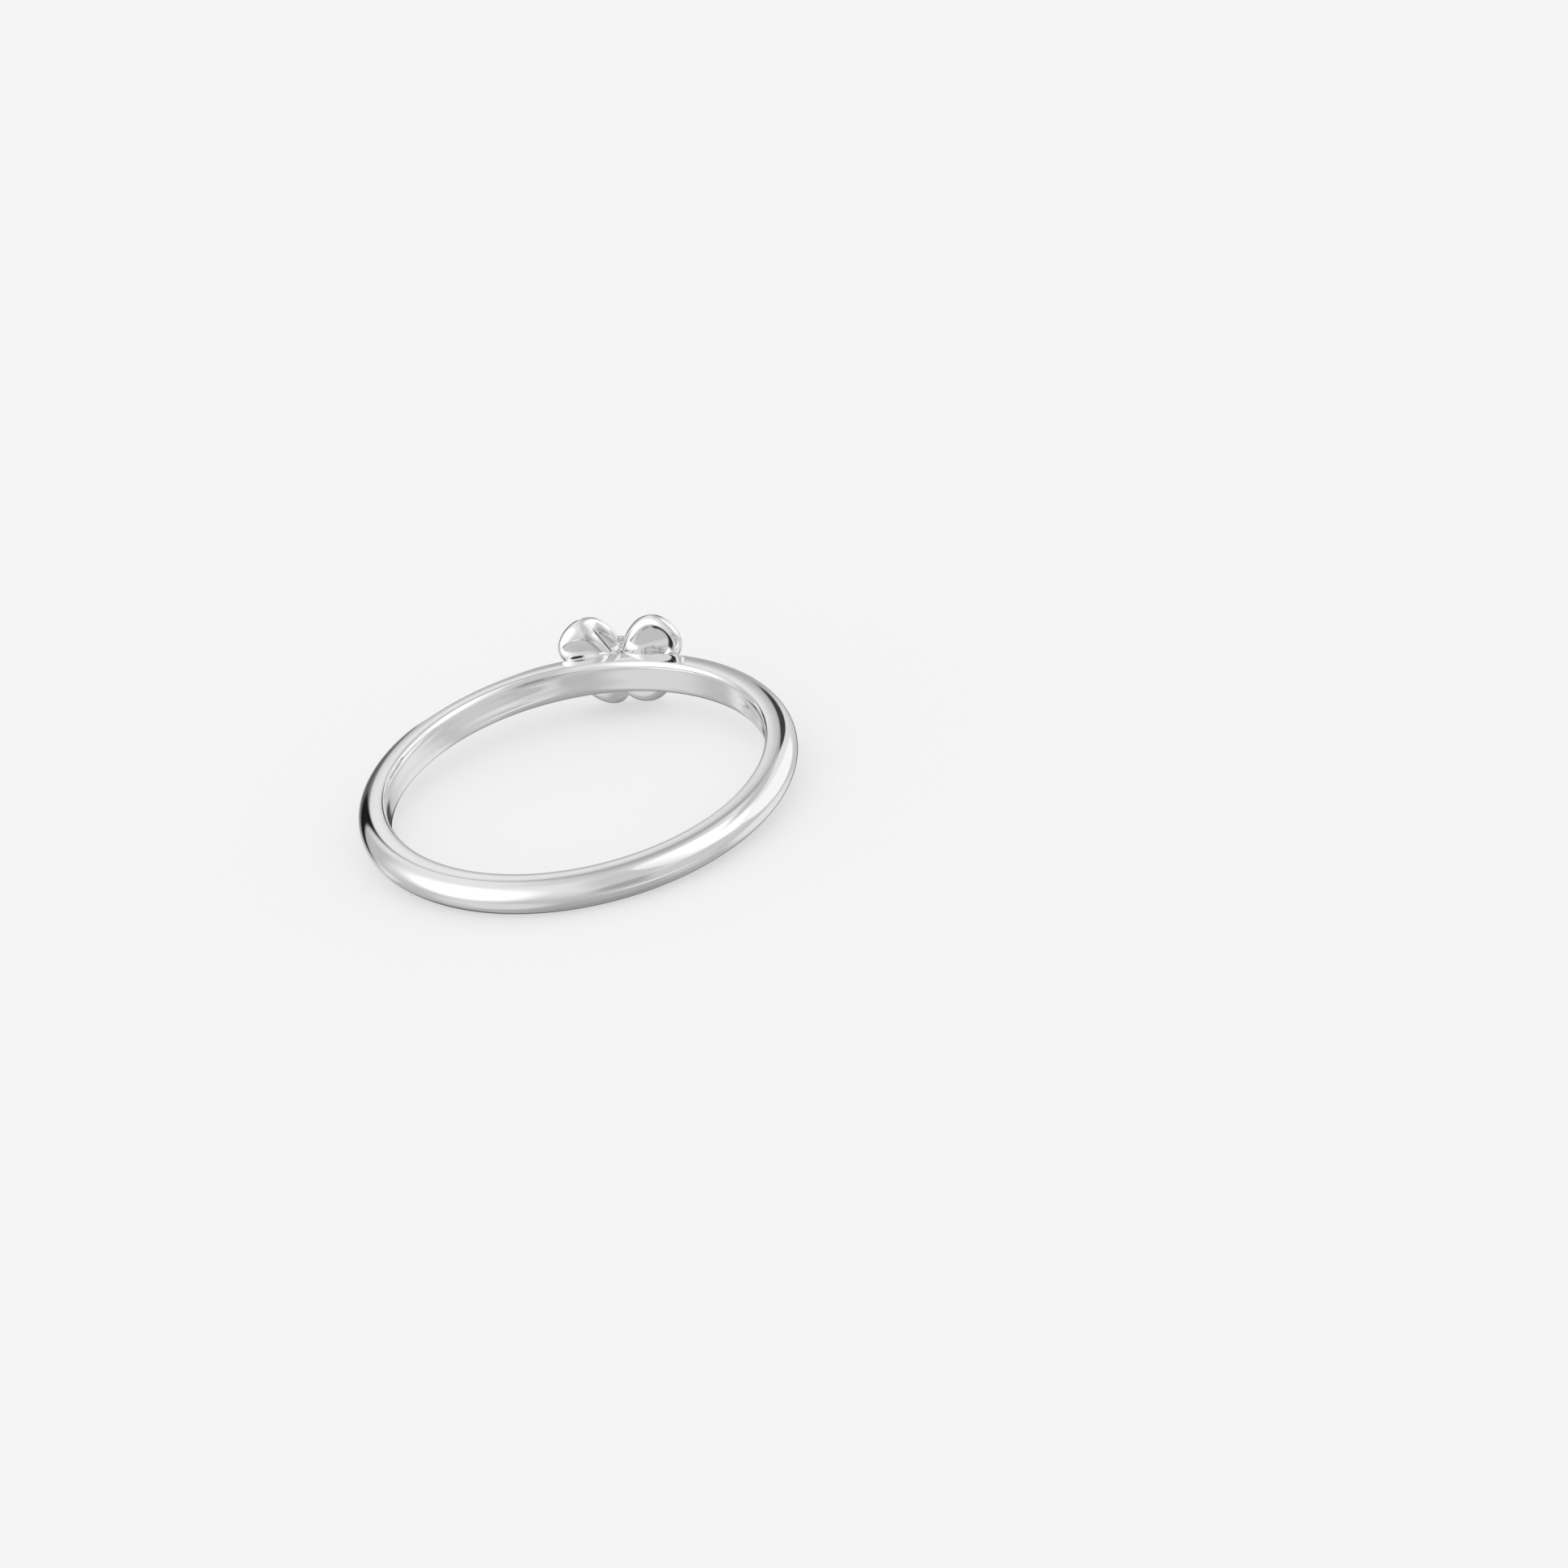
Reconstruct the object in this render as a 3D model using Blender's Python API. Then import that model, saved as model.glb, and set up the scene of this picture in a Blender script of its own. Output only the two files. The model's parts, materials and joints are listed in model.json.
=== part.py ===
"""Stackable silver ring with a four-petal flower, lying on its side.

The ring is one piece of soldered silver. A thin D-section band carries a flower of two large
petals above the band, two small ones below it, a dome on the back of the left large petal and
a core that joins them all. Band and flower are unioned into the single object "ring".

Ring frame: Z runs along the finger hole, Y points from its middle to the flower and X runs
across the flower. The finished ring is then turned and lowered onto Z = 0, where it rests on
its two small petals and on the rim opposite them.
"""

import math

import bmesh
import bpy
from mathutils import Matrix, Vector
from mathutils.bvhtree import BVHTree

MM = 0.001
HALF_STEP = 0.5  # facets start half a step on, so that edges of band, petals and core never meet

# Band
BORE_DIAMETER = 17.3 * MM
BAND_WIDTH = 1.65 * MM  # along the finger
BAND_THICKNESS = 1.40 * MM  # from the finger hole to the crown
RIM_FLAT = 0.44 * MM  # flat side face, measured outward
EDGE_DEPTH = 0.20 * MM  # soft inner edge, measured outward
EDGE_HEIGHT = 0.40 * MM  # soft inner edge, measured along the finger hole
BAND_STEPS = 96
DOME_STEPS = 14
EDGE_STEPS = 4

# Flower
FLOWER_REACH = 3.4 * MM  # from the middle of the flower to the tip of the longest petal
PETAL_WIDTH = 2.5 * MM
PETAL_THICKNESS = 1.05 * MM
PETAL_FULLNESS = 2.4  # 2 makes a lens, more makes a fuller rim
PETAL_MIDDLE = 0.6  # share of its length where a petal is thickest
RIM_SHARE = 0.8  # share of the way out to its edge where a petal's rounded rim begins
FLOWER_LIFT = 0.08 * MM  # middle of the petals' thickness above the crown of the band
FRONT_CUP = 0.18 * MM  # hollow in the front of each petal
CORE_DIAMETER = 2.7 * MM
CORE_THICKNESS = 1.15 * MM
PETAL_STEPS = 24
PETAL_ROWS = 12

# One row for each petal. Angles are in degrees from +Z towards +X. Reach and width are shares
# of FLOWER_REACH and PETAL_WIDTH, thickness, set and hollow of PETAL_THICKNESS. Set moves the
# petal away from the finger, hollow dishes its back, and taper narrows it towards its root.
PETALS = (
    # name, angle, reach, width, thickness, set, hollow, taper
    ("petal_upper_left", -50, 0.885, 1.00, 0.80, 0.10, 0.00, 0.35),
    ("dome_upper_left", -54, 0.905, 0.80, 0.80, -0.25, 0.00, 0.95),
    ("petal_upper_right", 56, 1.010, 1.00, 1.00, 0.00, 0.24, 0.30),
    ("petal_lower_left", -136, 0.705, 0.92, 0.90, 0.00, 0.00, 0.35),
    ("petal_lower_right", 136, 0.710, 1.06, 0.90, 0.00, 0.00, 0.00),
)

SILVER = (0.93, 0.925, 0.915, 1.0)
SILVER_ROUGHNESS = 0.07

BORE_RADIUS = BORE_DIAMETER / 2
CROWN_RADIUS = BORE_RADIUS + BAND_THICKNESS
FLAT_RADIUS = BORE_RADIUS + EDGE_DEPTH + RIM_FLAT
HALF_WIDTH = BAND_WIDTH / 2


def arc(centre, radii, start, end, steps):
    """Points of an ellipse about centre, its angles in degrees, both ends included."""
    points = []
    for step in range(steps + 1):
        turn = math.radians(start + (end - start) * step / steps)
        points.append((centre[0] + radii[0] * math.cos(turn), centre[1] + radii[1] * math.sin(turn)))
    return points


def band_section():
    """Closed outline of the band as (radius, height) points, anticlockwise from the lower rim."""
    edge = (EDGE_DEPTH, EDGE_HEIGHT)
    edge_radius = BORE_RADIUS + EDGE_DEPTH
    edge_height = HALF_WIDTH - EDGE_HEIGHT
    dome = (CROWN_RADIUS - FLAT_RADIUS, HALF_WIDTH)
    outer = arc((FLAT_RADIUS, 0), dome, -90, 90, DOME_STEPS)
    upper = arc((edge_radius, edge_height), edge, 90, 180, EDGE_STEPS)
    lower = arc((edge_radius, -edge_height), edge, 180, 270, EDGE_STEPS)
    return outer + upper + lower


def finish(name, mesh_data):
    """Object of a bmesh, with its faces outward and shaded smooth."""
    bmesh.ops.recalc_face_normals(mesh_data, faces=mesh_data.faces)
    mesh = bpy.data.meshes.new(name)
    mesh_data.to_mesh(mesh)
    mesh_data.free()
    mesh.shade_smooth()
    mesh.set_sharp_from_angle(angle=math.radians(40))
    built = bpy.data.objects.new(name, mesh)
    bpy.context.scene.collection.objects.link(built)
    return built


def skin(mesh_data, rows, closed):
    """Quads between rows of vertices, and from the last row back to the first if closed."""
    count = len(rows[0])
    followers = rows[1:] + rows[:1] if closed else rows[1:]
    for row, follower in zip(rows, followers):
        for step in range(count):
            after = (step + 1) % count
            mesh_data.faces.new((row[step], row[after], follower[after], follower[step]))


def make_band():
    """The band: its section carried round the finger hole."""
    mesh_data = bmesh.new()
    section = band_section()
    rows = []
    for step in range(BAND_STEPS):
        turn = math.tau * (step + HALF_STEP) / BAND_STEPS
        rows.append([
            mesh_data.verts.new((radius * math.cos(turn), radius * math.sin(turn), height))
            for radius, height in section
        ])
    skin(mesh_data, rows, closed=True)
    return finish("ring", mesh_data)


def make_lens(name, rim, middle, place, depth):
    """A closed lens. rim(turn) gives its edge as (across, along), middle is the point on its
    length that its rows close on, depth(share, side) its depth at a share of the way out to
    the edge, where side is -1 on the back and 1 on the front, and place(across, along, out)
    puts a point into the ring frame."""
    mesh_data = bmesh.new()
    edge = [rim(math.tau * (step + HALF_STEP) / PETAL_STEPS) for step in range(PETAL_STEPS)]
    rows = []
    for row in range(1, PETAL_ROWS):
        slope = math.pi * row / PETAL_ROWS
        share = math.sin(slope)
        side = -1 if slope < math.pi / 2 else 1
        out = depth(share, side)
        rows.append([
            mesh_data.verts.new(place(share * across, middle + share * (along - middle), out))
            for across, along in edge
        ])
    skin(mesh_data, rows, closed=False)
    for row, side in ((rows[0], -1), (rows[-1], 1)):
        pole = mesh_data.verts.new(place(0, middle, depth(0, side)))
        for step in range(PETAL_STEPS):
            mesh_data.faces.new((pole, row[step], row[(step + 1) % PETAL_STEPS]))
    return finish(name, mesh_data)


def wrapped(across, along, out):
    """Point of the flower, bent round the finger as the band is."""
    level = CROWN_RADIUS + FLOWER_LIFT + out
    return Vector((across, level - across * across / (2 * CROWN_RADIUS), along))


def bowl(share):
    """1 in the middle of a petal, falling smoothly to 0 where its rounded rim begins."""
    inside = 1 - min(share / RIM_SHARE, 1) ** 2
    return inside * inside


def egg(turn, taper):
    """Half width of an egg outline, 0 at its root and tip."""
    return math.sin(turn) * (1 + taper * math.cos(turn))


def make_petal(name, angle, reach, width, thickness, offset, hollow, taper):
    """A petal: an egg outline from the middle of the flower, puffed front and back."""
    length = reach * FLOWER_REACH
    turned = math.radians(angle)
    widest = max(egg(math.radians(degree), taper) for degree in range(180))
    half_width = width * PETAL_WIDTH / 2 / widest
    half_thickness = thickness * PETAL_THICKNESS / 2

    def rim(turn):
        return half_width * egg(turn, taper), length * (1 + math.cos(turn)) / 2

    def depth(share, side):
        puffed = side * half_thickness * math.sqrt(1 - share**PETAL_FULLNESS)
        dished = hollow * PETAL_THICKNESS if side < 0 else -FRONT_CUP
        return offset * PETAL_THICKNESS + puffed + dished * bowl(share)

    def place(across, along, out):
        x = along * math.sin(turned) + across * math.cos(turned)
        z = along * math.cos(turned) - across * math.sin(turned)
        return wrapped(x, z, out)

    return make_lens(name, rim, PETAL_MIDDLE * length, place, depth)


def make_core():
    """The core: a round lens between the petals."""
    radius = CORE_DIAMETER / 2

    def rim(turn):
        return radius * math.sin(turn), radius * math.cos(turn)

    def depth(share, side):
        return side * CORE_THICKNESS / 2 * math.sqrt(1 - share * share)

    return make_lens("core", rim, 0, wrapped, depth)


def fuse(ring, pieces):
    """Union of the band and the flower's pieces, which stay as hidden guides under the ring.
    The core comes first, so that the roots of the petals lie inside it."""
    for piece in pieces:
        piece.parent = ring
        piece.hide_render = True
        piece.display_type = "WIRE"
        union = ring.modifiers.new(piece.name, "BOOLEAN")
        union.operation = "UNION"
        union.solver = "EXACT"
        union.object = piece


def centre_of_mass(mesh_data):
    """Centre of mass of a closed triangulated bmesh."""
    volume = 0.0
    moment = Vector()
    for face in mesh_data.faces:
        a, b, c = (vertex.co for vertex in face.verts)
        wedge = a.dot(b.cross(c)) / 6
        volume += wedge
        moment += wedge * (a + b + c) / 4
    return moment / volume


def resting_turn(mesh_data):
    """Turn that lays the solid on the face of its hull that lies under its centre of mass."""
    centre = centre_of_mass(mesh_data)
    hull = mesh_data.copy()
    found = bmesh.ops.convex_hull(hull, input=hull.verts)
    inner = {item for item in found["geom_interior"] + found["geom_unused"]
             if isinstance(item, bmesh.types.BMVert)}
    bmesh.ops.delete(hull, geom=list(inner), context="VERTS")
    tree = BVHTree.FromBMesh(hull)
    down = Vector((0, 0, -1))
    underside = None
    while True:
        _, normal, face, _ = tree.ray_cast(centre, down)
        if face == underside:
            break
        underside = face
        down = normal if normal.dot(down) > 0 else -normal
    hull.free()
    return down.rotation_difference(Vector((0, 0, -1))).to_matrix().to_4x4()


def lay_down(ring):
    """Turn the ring onto its resting side and put the middle of its box's base at the origin."""
    depsgraph = bpy.context.evaluated_depsgraph_get()
    mesh_data = bmesh.new()
    mesh_data.from_mesh(ring.evaluated_get(depsgraph).data)
    bmesh.ops.triangulate(mesh_data, faces=mesh_data.faces)
    turn = resting_turn(mesh_data)
    mesh_data.transform(turn)
    lowest = [min(vertex.co[axis] for vertex in mesh_data.verts) for axis in range(3)]
    highest = [max(vertex.co[axis] for vertex in mesh_data.verts) for axis in range(3)]
    mesh_data.free()
    base = Vector((
        (lowest[0] + highest[0]) / 2,
        (lowest[1] + highest[1]) / 2,
        lowest[2],
    ))
    ring.matrix_world = Matrix.Translation(-base) @ turn


def polished_silver():
    """Polished sterling silver."""
    material = bpy.data.materials.new("polished_silver")
    material.use_nodes = True
    shader = material.node_tree.nodes["Principled BSDF"]
    shader.inputs["Base Color"].default_value = SILVER
    shader.inputs["Metallic"].default_value = 1.0
    shader.inputs["Roughness"].default_value = SILVER_ROUGHNESS
    return material


def main():
    for leftover in list(bpy.data.objects):
        bpy.data.objects.remove(leftover)
    ring = make_band()
    ring.data.materials.append(polished_silver())
    fuse(ring, [make_core()] + [make_petal(*row) for row in PETALS])
    lay_down(ring)


if __name__ == "__main__":
    main()
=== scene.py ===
# Studio look of a stackable silver ring with a four-petal flower, lying on its side.
#
# Shapes are worked out in the ring frame, in metres: Z along the finger hole, Y from its middle
# to the flower, X across the flower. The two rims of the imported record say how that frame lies
# on the floor.

import json
import math
from collections import namedtuple

import bpy
import numpy as np
from bpy.props import FloatProperty, FloatVectorProperty, PointerProperty
from mathutils import Matrix, Vector


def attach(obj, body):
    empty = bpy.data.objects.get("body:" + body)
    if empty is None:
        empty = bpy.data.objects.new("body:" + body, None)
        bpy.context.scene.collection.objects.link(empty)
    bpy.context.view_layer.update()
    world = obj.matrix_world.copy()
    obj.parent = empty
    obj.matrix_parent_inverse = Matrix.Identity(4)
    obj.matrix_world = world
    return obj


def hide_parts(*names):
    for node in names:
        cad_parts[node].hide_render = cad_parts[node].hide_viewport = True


bl_info = {
    "name": "Stackable flower ring",
    "version": (1, 0, 0),
    "blender": (4, 5, 0),
    "location": "View3D > Sidebar > Flower ring",
    "description": "Makes the polished silver surfaces of a stackable ring and its studio",
    "category": "Object",
}

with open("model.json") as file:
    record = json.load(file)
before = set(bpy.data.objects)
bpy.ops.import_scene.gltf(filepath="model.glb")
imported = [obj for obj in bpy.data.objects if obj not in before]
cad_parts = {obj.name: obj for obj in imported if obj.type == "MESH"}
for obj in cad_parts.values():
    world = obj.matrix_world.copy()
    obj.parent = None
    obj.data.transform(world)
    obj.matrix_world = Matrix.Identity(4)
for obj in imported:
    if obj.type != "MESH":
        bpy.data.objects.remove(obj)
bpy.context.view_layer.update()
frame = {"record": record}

MM = 0.001
NODE = "ring"
BODY = "root"
PAINTED_SHADE_ATTRIBUTE = "painted_shade"


def linear(hex_colour):
    """Linear colour of an sRGB hex value, with its alpha."""
    channels = []
    for start in (1, 3, 5):
        value = int(hex_colour[start:start + 2], 16) / 255
        channels.append(value / 12.92 if value <= 0.04045 else ((value + 0.055) / 1.055) ** 2.4)
    return (*channels, 1.0)


def length(name, default, description):
    """A length property in metres."""
    return FloatProperty(
        name=name, description=description, default=default, min=0.0, unit="LENGTH", precision=5)


def share(name, default, description):
    """A property without a unit."""
    return FloatProperty(name=name, description=description, default=default, min=0.0)


def colour(name, hex_colour, description):
    """A colour property, set from an sRGB hex value."""
    return FloatVectorProperty(
        name=name, description=description, default=linear(hex_colour), size=4,
        subtype="COLOR", min=0.0, max=1.0)


class BandSizes(bpy.types.PropertyGroup):
    bore_diameter: length("Finger hole", 17.3 * MM, "Diameter of the finger hole")
    width: length("Width", 1.65 * MM, "Width of the band, along the finger")
    thickness: length("Thickness", 1.40 * MM, "From the finger hole to the crown")
    rim_flat: length("Rim flat", 0.44 * MM, "Flat side face, measured outward")
    rim_crown: length("Rim crown", 0.0067 * MM, "How far buffing left the rim's middle proud")
    edge_depth: length("Edge depth", 0.20 * MM, "Soft inner edge, measured outward")
    edge_height: length("Edge height", 0.40 * MM, "Soft inner edge, along the finger hole")
    waviness: length("Waviness", 0.0012 * MM, "How far hand polishing leaves the band off true")


class FlowerSizes(bpy.types.PropertyGroup):
    reach: length("Reach", 3.4 * MM, "From the middle of the flower to its longest petal's tip")
    petal_width: length("Petal width", 2.5 * MM, "Width of a petal")
    petal_thickness: length("Petal thickness", 1.05 * MM, "Thickness of a petal")
    fullness: share("Fullness", 2.4, "2 makes a petal a lens, more gives it a fuller rim")
    middle: share("Middle", 0.6, "Share of its length where a petal is thickest")
    lift: length("Lift", 0.08 * MM, "Middle of the petals' thickness above the band's crown")
    cup: length("Cup", 0.18 * MM, "Hollow in the front of each petal")
    core_diameter: length("Core diameter", 2.7 * MM, "Diameter of the core between the petals")
    core_thickness: length("Core thickness", 1.15 * MM, "Thickness of the core")
    grain: length("Grain", 0.085 * MM, "Size of the grains that casting left")


class SilverColours(bpy.types.PropertyGroup):
    polished: colour("Polished", "#f4f4f4", "Bare silver where the wheel reached")
    hazed: colour("Hazed", "#ededee", "Silver with the faint haze of handling")
    cast: colour("Cast", "#f0f0f0", "Silver left as it was cast, behind the flower")
    # Painted shade in the pits of the cast skin.
    pit_shade: colour("Recess", "#a8a8aa", "Bottoms of the pits between the grains")
    # Painted shade: the dark film laid where shade falls in corners, creases and under the petals.
    painted_shade: colour("Residue", "#262628", "Polishing residue that stays in corners")


class StageLook(bpy.types.PropertyGroup):
    floor: colour("Floor", "#e7e7e7", "Albedo of the white panel under the ring")
    floor_size: length("Floor size", 1.6, "Side of the floor")
    dome: share("Dome", 0.74, "Brightness of the even dome of light over the floor")
    panel: share("Panel", 0.32, "Brightness of the floor's own light")


class RingSettings(bpy.types.PropertyGroup):
    band: PointerProperty(type=BandSizes, name="Band", description="Sizes of the band")
    flower: PointerProperty(type=FlowerSizes, name="Flower", description="Sizes of the flower")
    silver: PointerProperty(type=SilverColours, name="Silver", description="Colours of the silver")
    stage: PointerProperty(type=StageLook, name="Stage", description="Floor and light")


# Places

def ring_turn(band):
    """Turn of the ring frame, and the middle of the finger hole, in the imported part's frame.
    The lower rim's point is the upper one's mirror image, straight opposite the flower."""
    mounts = {mount["name"]: mount for mount in frame["record"]["mounts"]}
    upper, lower = mounts["upper_rim"], mounts["lower_rim"]
    turn = Vector((0, 0, 1)).rotation_difference(Vector(upper["axis"])).to_matrix()
    rim_radius = band.bore_diameter / 2 + band.edge_depth + band.rim_flat / 2
    between = (Vector(upper["pos_m"]) + Vector(lower["pos_m"])) / 2
    return turn, between - turn @ Vector((0, -rim_radius, 0))


def ring_to_row(points, band):
    """Points of the ring frame, an array that ends in (x, y, z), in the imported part's frame."""
    turn, middle = ring_turn(band)
    return points @ np.array(turn).T + np.array(middle)


# Surfaces

NOISE_VALUES = 4096
NOISE_PRIMES = (73856093, 19349663, 83492791)  # they spread the lattice's cells over the values


def noise(points, size, seed):
    """Smooth noise from -1 to 1: fixed random values on a cubic lattice of the given size, mixed
    between the eight nearest ones by the smooth step 3t^2 - 2t^3 along each axis."""
    values = np.random.default_rng(seed).uniform(-1, 1, NOISE_VALUES)
    scaled = points / size
    cell = np.floor(scaled).astype(np.int64)
    step = scaled - cell
    step = step * step * (3 - 2 * step)
    total = np.zeros(points.shape[:-1])
    for corner in np.ndindex(2, 2, 2):
        picked = cell + np.array(corner)
        spread = picked @ np.array(NOISE_PRIMES)
        weight = np.prod(np.where(corner, step, 1 - step), axis=-1)
        total += weight * values[spread % NOISE_VALUES]
    return total


def smooth_step(value, start, end):
    """0 up to start, 1 from end, and 3t^2 - 2t^3 between them."""
    step = np.clip((value - start) / (end - start), 0, 1)
    return step * step * (3 - 2 * step)


def grid_faces(rows, columns, ring_of_rows):
    """Quads of a grid of points whose columns close on themselves, and whose rows do too if
    ring_of_rows."""
    row = np.arange(rows if ring_of_rows else rows - 1)[:, None]
    column = np.arange(columns)[None, :]
    after = (column + 1) % columns
    below = (row + 1) % rows
    corners = (row * columns + column, row * columns + after,
               below * columns + after, below * columns + column)
    return np.stack(np.broadcast_arrays(*corners), -1).reshape(-1, 4)


def pole_faces(pole, first, columns):
    """Triangles from a pole to the closed row of points that starts at the index first."""
    column = np.arange(columns)
    return np.stack([np.full(columns, pole), first + column, first + (column + 1) % columns], -1)


def make_piece(name, points, faces, band, material, painted_shade=None):
    """A piece of the ring from points in the ring frame, riding on the ring's body. Painted shade
    is each point's share of the dark film painted where shade falls, in corners, creases and under
    the petals."""
    mesh = bpy.data.meshes.new(name)
    mesh.from_pydata(ring_to_row(points, band), [], [face.tolist() for face in faces])
    mesh.update()
    mesh.shade_smooth()
    if painted_shade is not None:
        mesh.attributes.new(PAINTED_SHADE_ATTRIBUTE, "FLOAT", "POINT").data.foreach_set("value", painted_shade)
    mesh.materials.append(material)
    piece = bpy.data.objects.new(name, mesh)
    bpy.context.scene.collection.objects.link(piece)
    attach(piece, BODY)
    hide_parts(NODE)


def make_closed(name, grid, poles, band, material, painted_shade=None):
    """A closed piece from rows of points between two poles, with its faces outward."""
    rows, columns = grid.shape[:2]
    points = np.concatenate([grid.reshape(-1, 3), np.array(poles)])
    last = rows * columns
    quads = grid_faces(rows, columns, ring_of_rows=False)
    first_cap = pole_faces(last, 0, columns)[:, ::-1]
    last_cap = pole_faces(last + 1, last - columns, columns)
    centre = points.mean(axis=0)
    edges = points[quads] - centre
    volume = np.sum(edges[:, 0] * np.cross(edges[:, 1], edges[:, 2]))
    volume += np.sum(edges[:, 0] * np.cross(edges[:, 2], edges[:, 3]))
    if volume < 0:
        quads, first_cap, last_cap = quads[:, ::-1], first_cap[:, ::-1], last_cap[:, ::-1]
    faces = [*quads, *first_cap, *last_cap]
    make_piece(name, points, faces, band, material, painted_shade)


def arc(centre, radii, start, end, steps):
    """Points of an ellipse about centre, its angles in degrees, its last point left out:
    centre + (across radius * cos, upward radius * sin)."""
    turn = np.radians(np.linspace(start, end, steps, endpoint=False))
    return np.stack([centre[0] + radii[0] * np.cos(turn), centre[1] + radii[1] * np.sin(turn)], -1)


# Steps of each part of the band's section, and round the finger hole
DOME_STEPS = 56
FLAT_STEPS = 8
EDGE_STEPS = 14
WALL_STEPS = 28
ROUND_STEPS = 600

# Marks of polishing
WAVE_LENGTH = 1.7 * MM
STREAK_WIDTH = 0.34 * MM  # streaks that buffing along the band leaves on its inner wall
STREAK_DEPTH = 0.020 * MM
STREAK_DRAW = 0.06  # their width over their length
STREAK_SHARE = 0.5  # share of the soft inner edge's depth that the streaks still reach


def band_section(band):
    """Closed outline of the band as (radius, height): half an ellipse outside, rims that rise
    by crown * (1 - t^2) across their flat, quarter ellipses at the inner edges and the straight
    wall of the finger hole."""
    bore = band.bore_diameter / 2
    half = band.width / 2
    edge = (band.edge_depth, band.edge_height)
    edge_radius = bore + band.edge_depth
    edge_height = half - band.edge_height
    flat = edge_radius + band.rim_flat
    dome = (band.thickness - band.edge_depth - band.rim_flat, half)
    outside = arc((flat, 0), dome, -90, 90, DOME_STEPS)
    across = np.linspace(1, -1, FLAT_STEPS, endpoint=False)
    flat_radii = edge_radius + band.rim_flat * (1 + across) / 2
    crowned = half + band.rim_crown * (1 - across * across)
    upper_flat = np.stack([flat_radii, crowned], -1)
    upper_edge = arc((edge_radius, edge_height), edge, 90, 180, EDGE_STEPS)
    wall = np.linspace((bore, edge_height), (bore, -edge_height), WALL_STEPS, endpoint=False)
    lower_edge = arc((edge_radius, -edge_height), edge, 180, 270, EDGE_STEPS)
    lower_flat = np.stack([flat_radii[::-1], -crowned[::-1]], -1)
    return np.concatenate([outside, upper_flat, upper_edge, wall, lower_edge, lower_flat])


def make_band(band, material):
    """The band: its section carried round the finger hole, (radius * cos t, radius * sin t,
    height), each point moved along its radius by the noise of hand polishing, and on the inner
    wall also by noise drawn out along the band, the streaks."""
    section = band_section(band)
    turn = np.linspace(0, math.tau, ROUND_STEPS, endpoint=False)[:, None]
    radius = section[None, :, 0]
    points = np.stack([
        radius * np.cos(turn),
        radius * np.sin(turn),
        np.broadcast_to(section[None, :, 1], (ROUND_STEPS, len(section))),
    ], -1)
    outward = np.stack([np.cos(turn), np.sin(turn), np.zeros_like(turn)], -1)
    points = points + outward * band.waviness * noise(points, WAVE_LENGTH, seed=3)[..., None]
    drawn = noise(points * (STREAK_DRAW, STREAK_DRAW, 1), STREAK_WIDTH, seed=5)[..., None]
    inner = (section[:, 0] < section[:, 0].min() + STREAK_SHARE * band.edge_depth)[None, :, None]
    points = points + outward * inner * STREAK_DEPTH * drawn
    faces = grid_faces(ROUND_STEPS, len(section), ring_of_rows=True)
    make_piece("polished_band", points.reshape(-1, 3), faces, band, material)


Petal = namedtuple("Petal", "name angle reach width thickness set hollow taper")

# Angles are in degrees from +Z towards +X. Reach and width are shares of the flower's reach and
# petal width, thickness, set and hollow of the petal thickness. Set moves the petal away from
# the finger, hollow dishes its back, and taper narrows it towards its root. The first two rows
# make the folded petal.
PETALS = (
    Petal("petal_upper_left", -50, 0.885, 1.00, 0.80, 0.10, 0.00, 0.35),
    Petal("dome_upper_left", -54, 0.905, 0.80, 0.80, -0.25, 0.00, 0.95),
    Petal("petal_upper_right", 56, 1.010, 1.00, 1.00, 0.00, 0.30, 0.30),
    Petal("petal_lower_left", -136, 0.705, 0.92, 0.90, 0.00, 0.00, 0.35),
    Petal("petal_lower_right", 136, 0.710, 1.06, 0.90, 0.00, 0.00, 0.00),
)
PETAL_STEPS = 220
PETAL_ROWS = 150
OUTLINE_STEPS = 721  # points of an egg outline that bearings are looked up on
DISH_RIM = 0.80  # share of the way out to its edge where a petal's rounded rim begins
DISH_WALL = 0.24  # the same share taken up by the dish's wall
DISH_EASE = 0.12 * MM  # rounding where its bottom meets the rim
DISH_FOOT = 0.60  # share of the way out to the foot of its wall
DISH_LINE = 0.09  # share of the way out taken up by the painted shade at the foot of its wall
DISH_LEAN = (0.34, 0.10)  # slope of the dish's bottom towards +X and +Z
DISH_SIDE = ((-40, -10), (70, 95))  # degrees from +X to +Z where its painted shade starts and ends
SOFT_BLEND = 0.34 * MM  # blend of the folded petal's two lenses at its tip
CREASE_BLEND = 0.012 * MM  # and in its crease
CREASE_FROM, CREASE_TO = 1.5 * MM, 2.3 * MM  # where along the dome its crease turns soft
CREASE_LINE = 0.03 * MM  # half the width of the painted shade in the crease
RAY_REACH = 2.0  # where halving starts, over a plain lens's own reach
HALVINGS = 30


def wrapped(across, along, out, settings):
    """Points of the flower, bent round the finger as the band is: y falls off by
    across^2 / (2 * crown radius)."""
    band, flower = settings.band, settings.flower
    crown = band.bore_diameter / 2 + band.thickness
    level = crown + flower.lift + out - across * across / (2 * crown)
    return np.stack(np.broadcast_arrays(across, level, along), -1)


def petal_middle(petal, flower):
    """Distance from the middle of the flower to where a petal is thickest."""
    return flower.middle * petal.reach * flower.reach


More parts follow.
